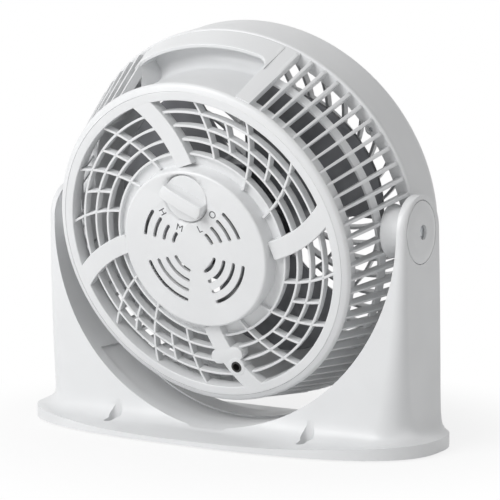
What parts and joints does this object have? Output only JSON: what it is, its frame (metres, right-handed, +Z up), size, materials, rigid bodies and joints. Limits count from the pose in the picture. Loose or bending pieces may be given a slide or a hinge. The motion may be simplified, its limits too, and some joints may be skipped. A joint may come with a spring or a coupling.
{
  "type": "air circulator fan",
  "caption": "Tabletop air circulator: a drum-shaped fan head with a swept rear grille, speed dial and carrying handle, tilting in a U-shaped stand.",
  "frame": {"origin": "on the table, under the middle of the fan's overall box at rest", "axes": "+Z up; +X to the left of someone who stands behind the fan, along the tilt axis; air is blown towards -Y and the speed dial faces +Y"},
  "size_m": [0.28, 0.1487, 0.2524],
  "materials": {
    "housing_abs": "satin moulded ABS, very light grey-white",
    "dial_abs": "polished moulded ABS, very light grey-white",
    "impeller_pp": "moulded polypropylene, charcoal",
    "foot_rubber": "matt moulded rubber",
    "zinc_steel": "zinc-plated steel",
    "shaft_steel": "ground steel",
    "lamination_steel": "stacked and oxidised electrical steel",
    "coil_copper": "enamelled copper wire",
    "bracket_aluminium": "die-cast, unpolished",
    "bush_bronze": "sintered bronze",
    "switch_phenolic": "moulded phenolic, black"
  },
  "bodies": {
    "stand": {"stand_shell": "housing_abs", "base_cover": "housing_abs", "cover_screws": "zinc_steel", "rubber_feet": "foot_rubber", "pivot_caps": "housing_abs"},
    "head": {"rear_housing": "housing_abs", "rear_grille": "housing_abs", "hub_cover": "housing_abs", "cord_gland": "switch_phenolic", "speed_switch": "switch_phenolic", "front_bezel": "housing_abs", "front_grille": "housing_abs", "centre_cap": "dial_abs", "bezel_screws": "zinc_steel", "pivot_washers": "zinc_steel", "pivot_screws": "zinc_steel", "motor_stator": "lamination_steel", "motor_windings": "coil_copper", "motor_rear_bracket": "bracket_aluminium", "motor_front_bracket": "bracket_aluminium", "motor_bushes": "bush_bronze", "motor_screws": "zinc_steel"},
    "impeller": {"impeller": "impeller_pp", "impeller_nut": "zinc_steel", "motor_rotor": "lamination_steel", "motor_shaft": "shaft_steel"},
    "knob": {"speed_knob": "dial_abs"}
  },
  "joints": [
    {"name": "head_tilt", "type": "hinge", "parent": "stand", "child": "head", "pos_m": [0, 0.00664, 0.1285], "axis": [-1, 0, 0], "range_deg": [-16, 74]},
    {"name": "fan_spin", "type": "hinge", "parent": "head", "child": "impeller", "pos_m": [0, 0.00664, 0.1285], "axis": [0, -0.9613, 0.2756], "continuous": true},
    {"name": "speed_knob_turn", "type": "hinge", "parent": "head", "child": "knob", "pos_m": [0, 0.05776, 0.14713], "axis": [0, -0.9613, 0.2756], "range_deg": [0, 127.5]}
  ]
}
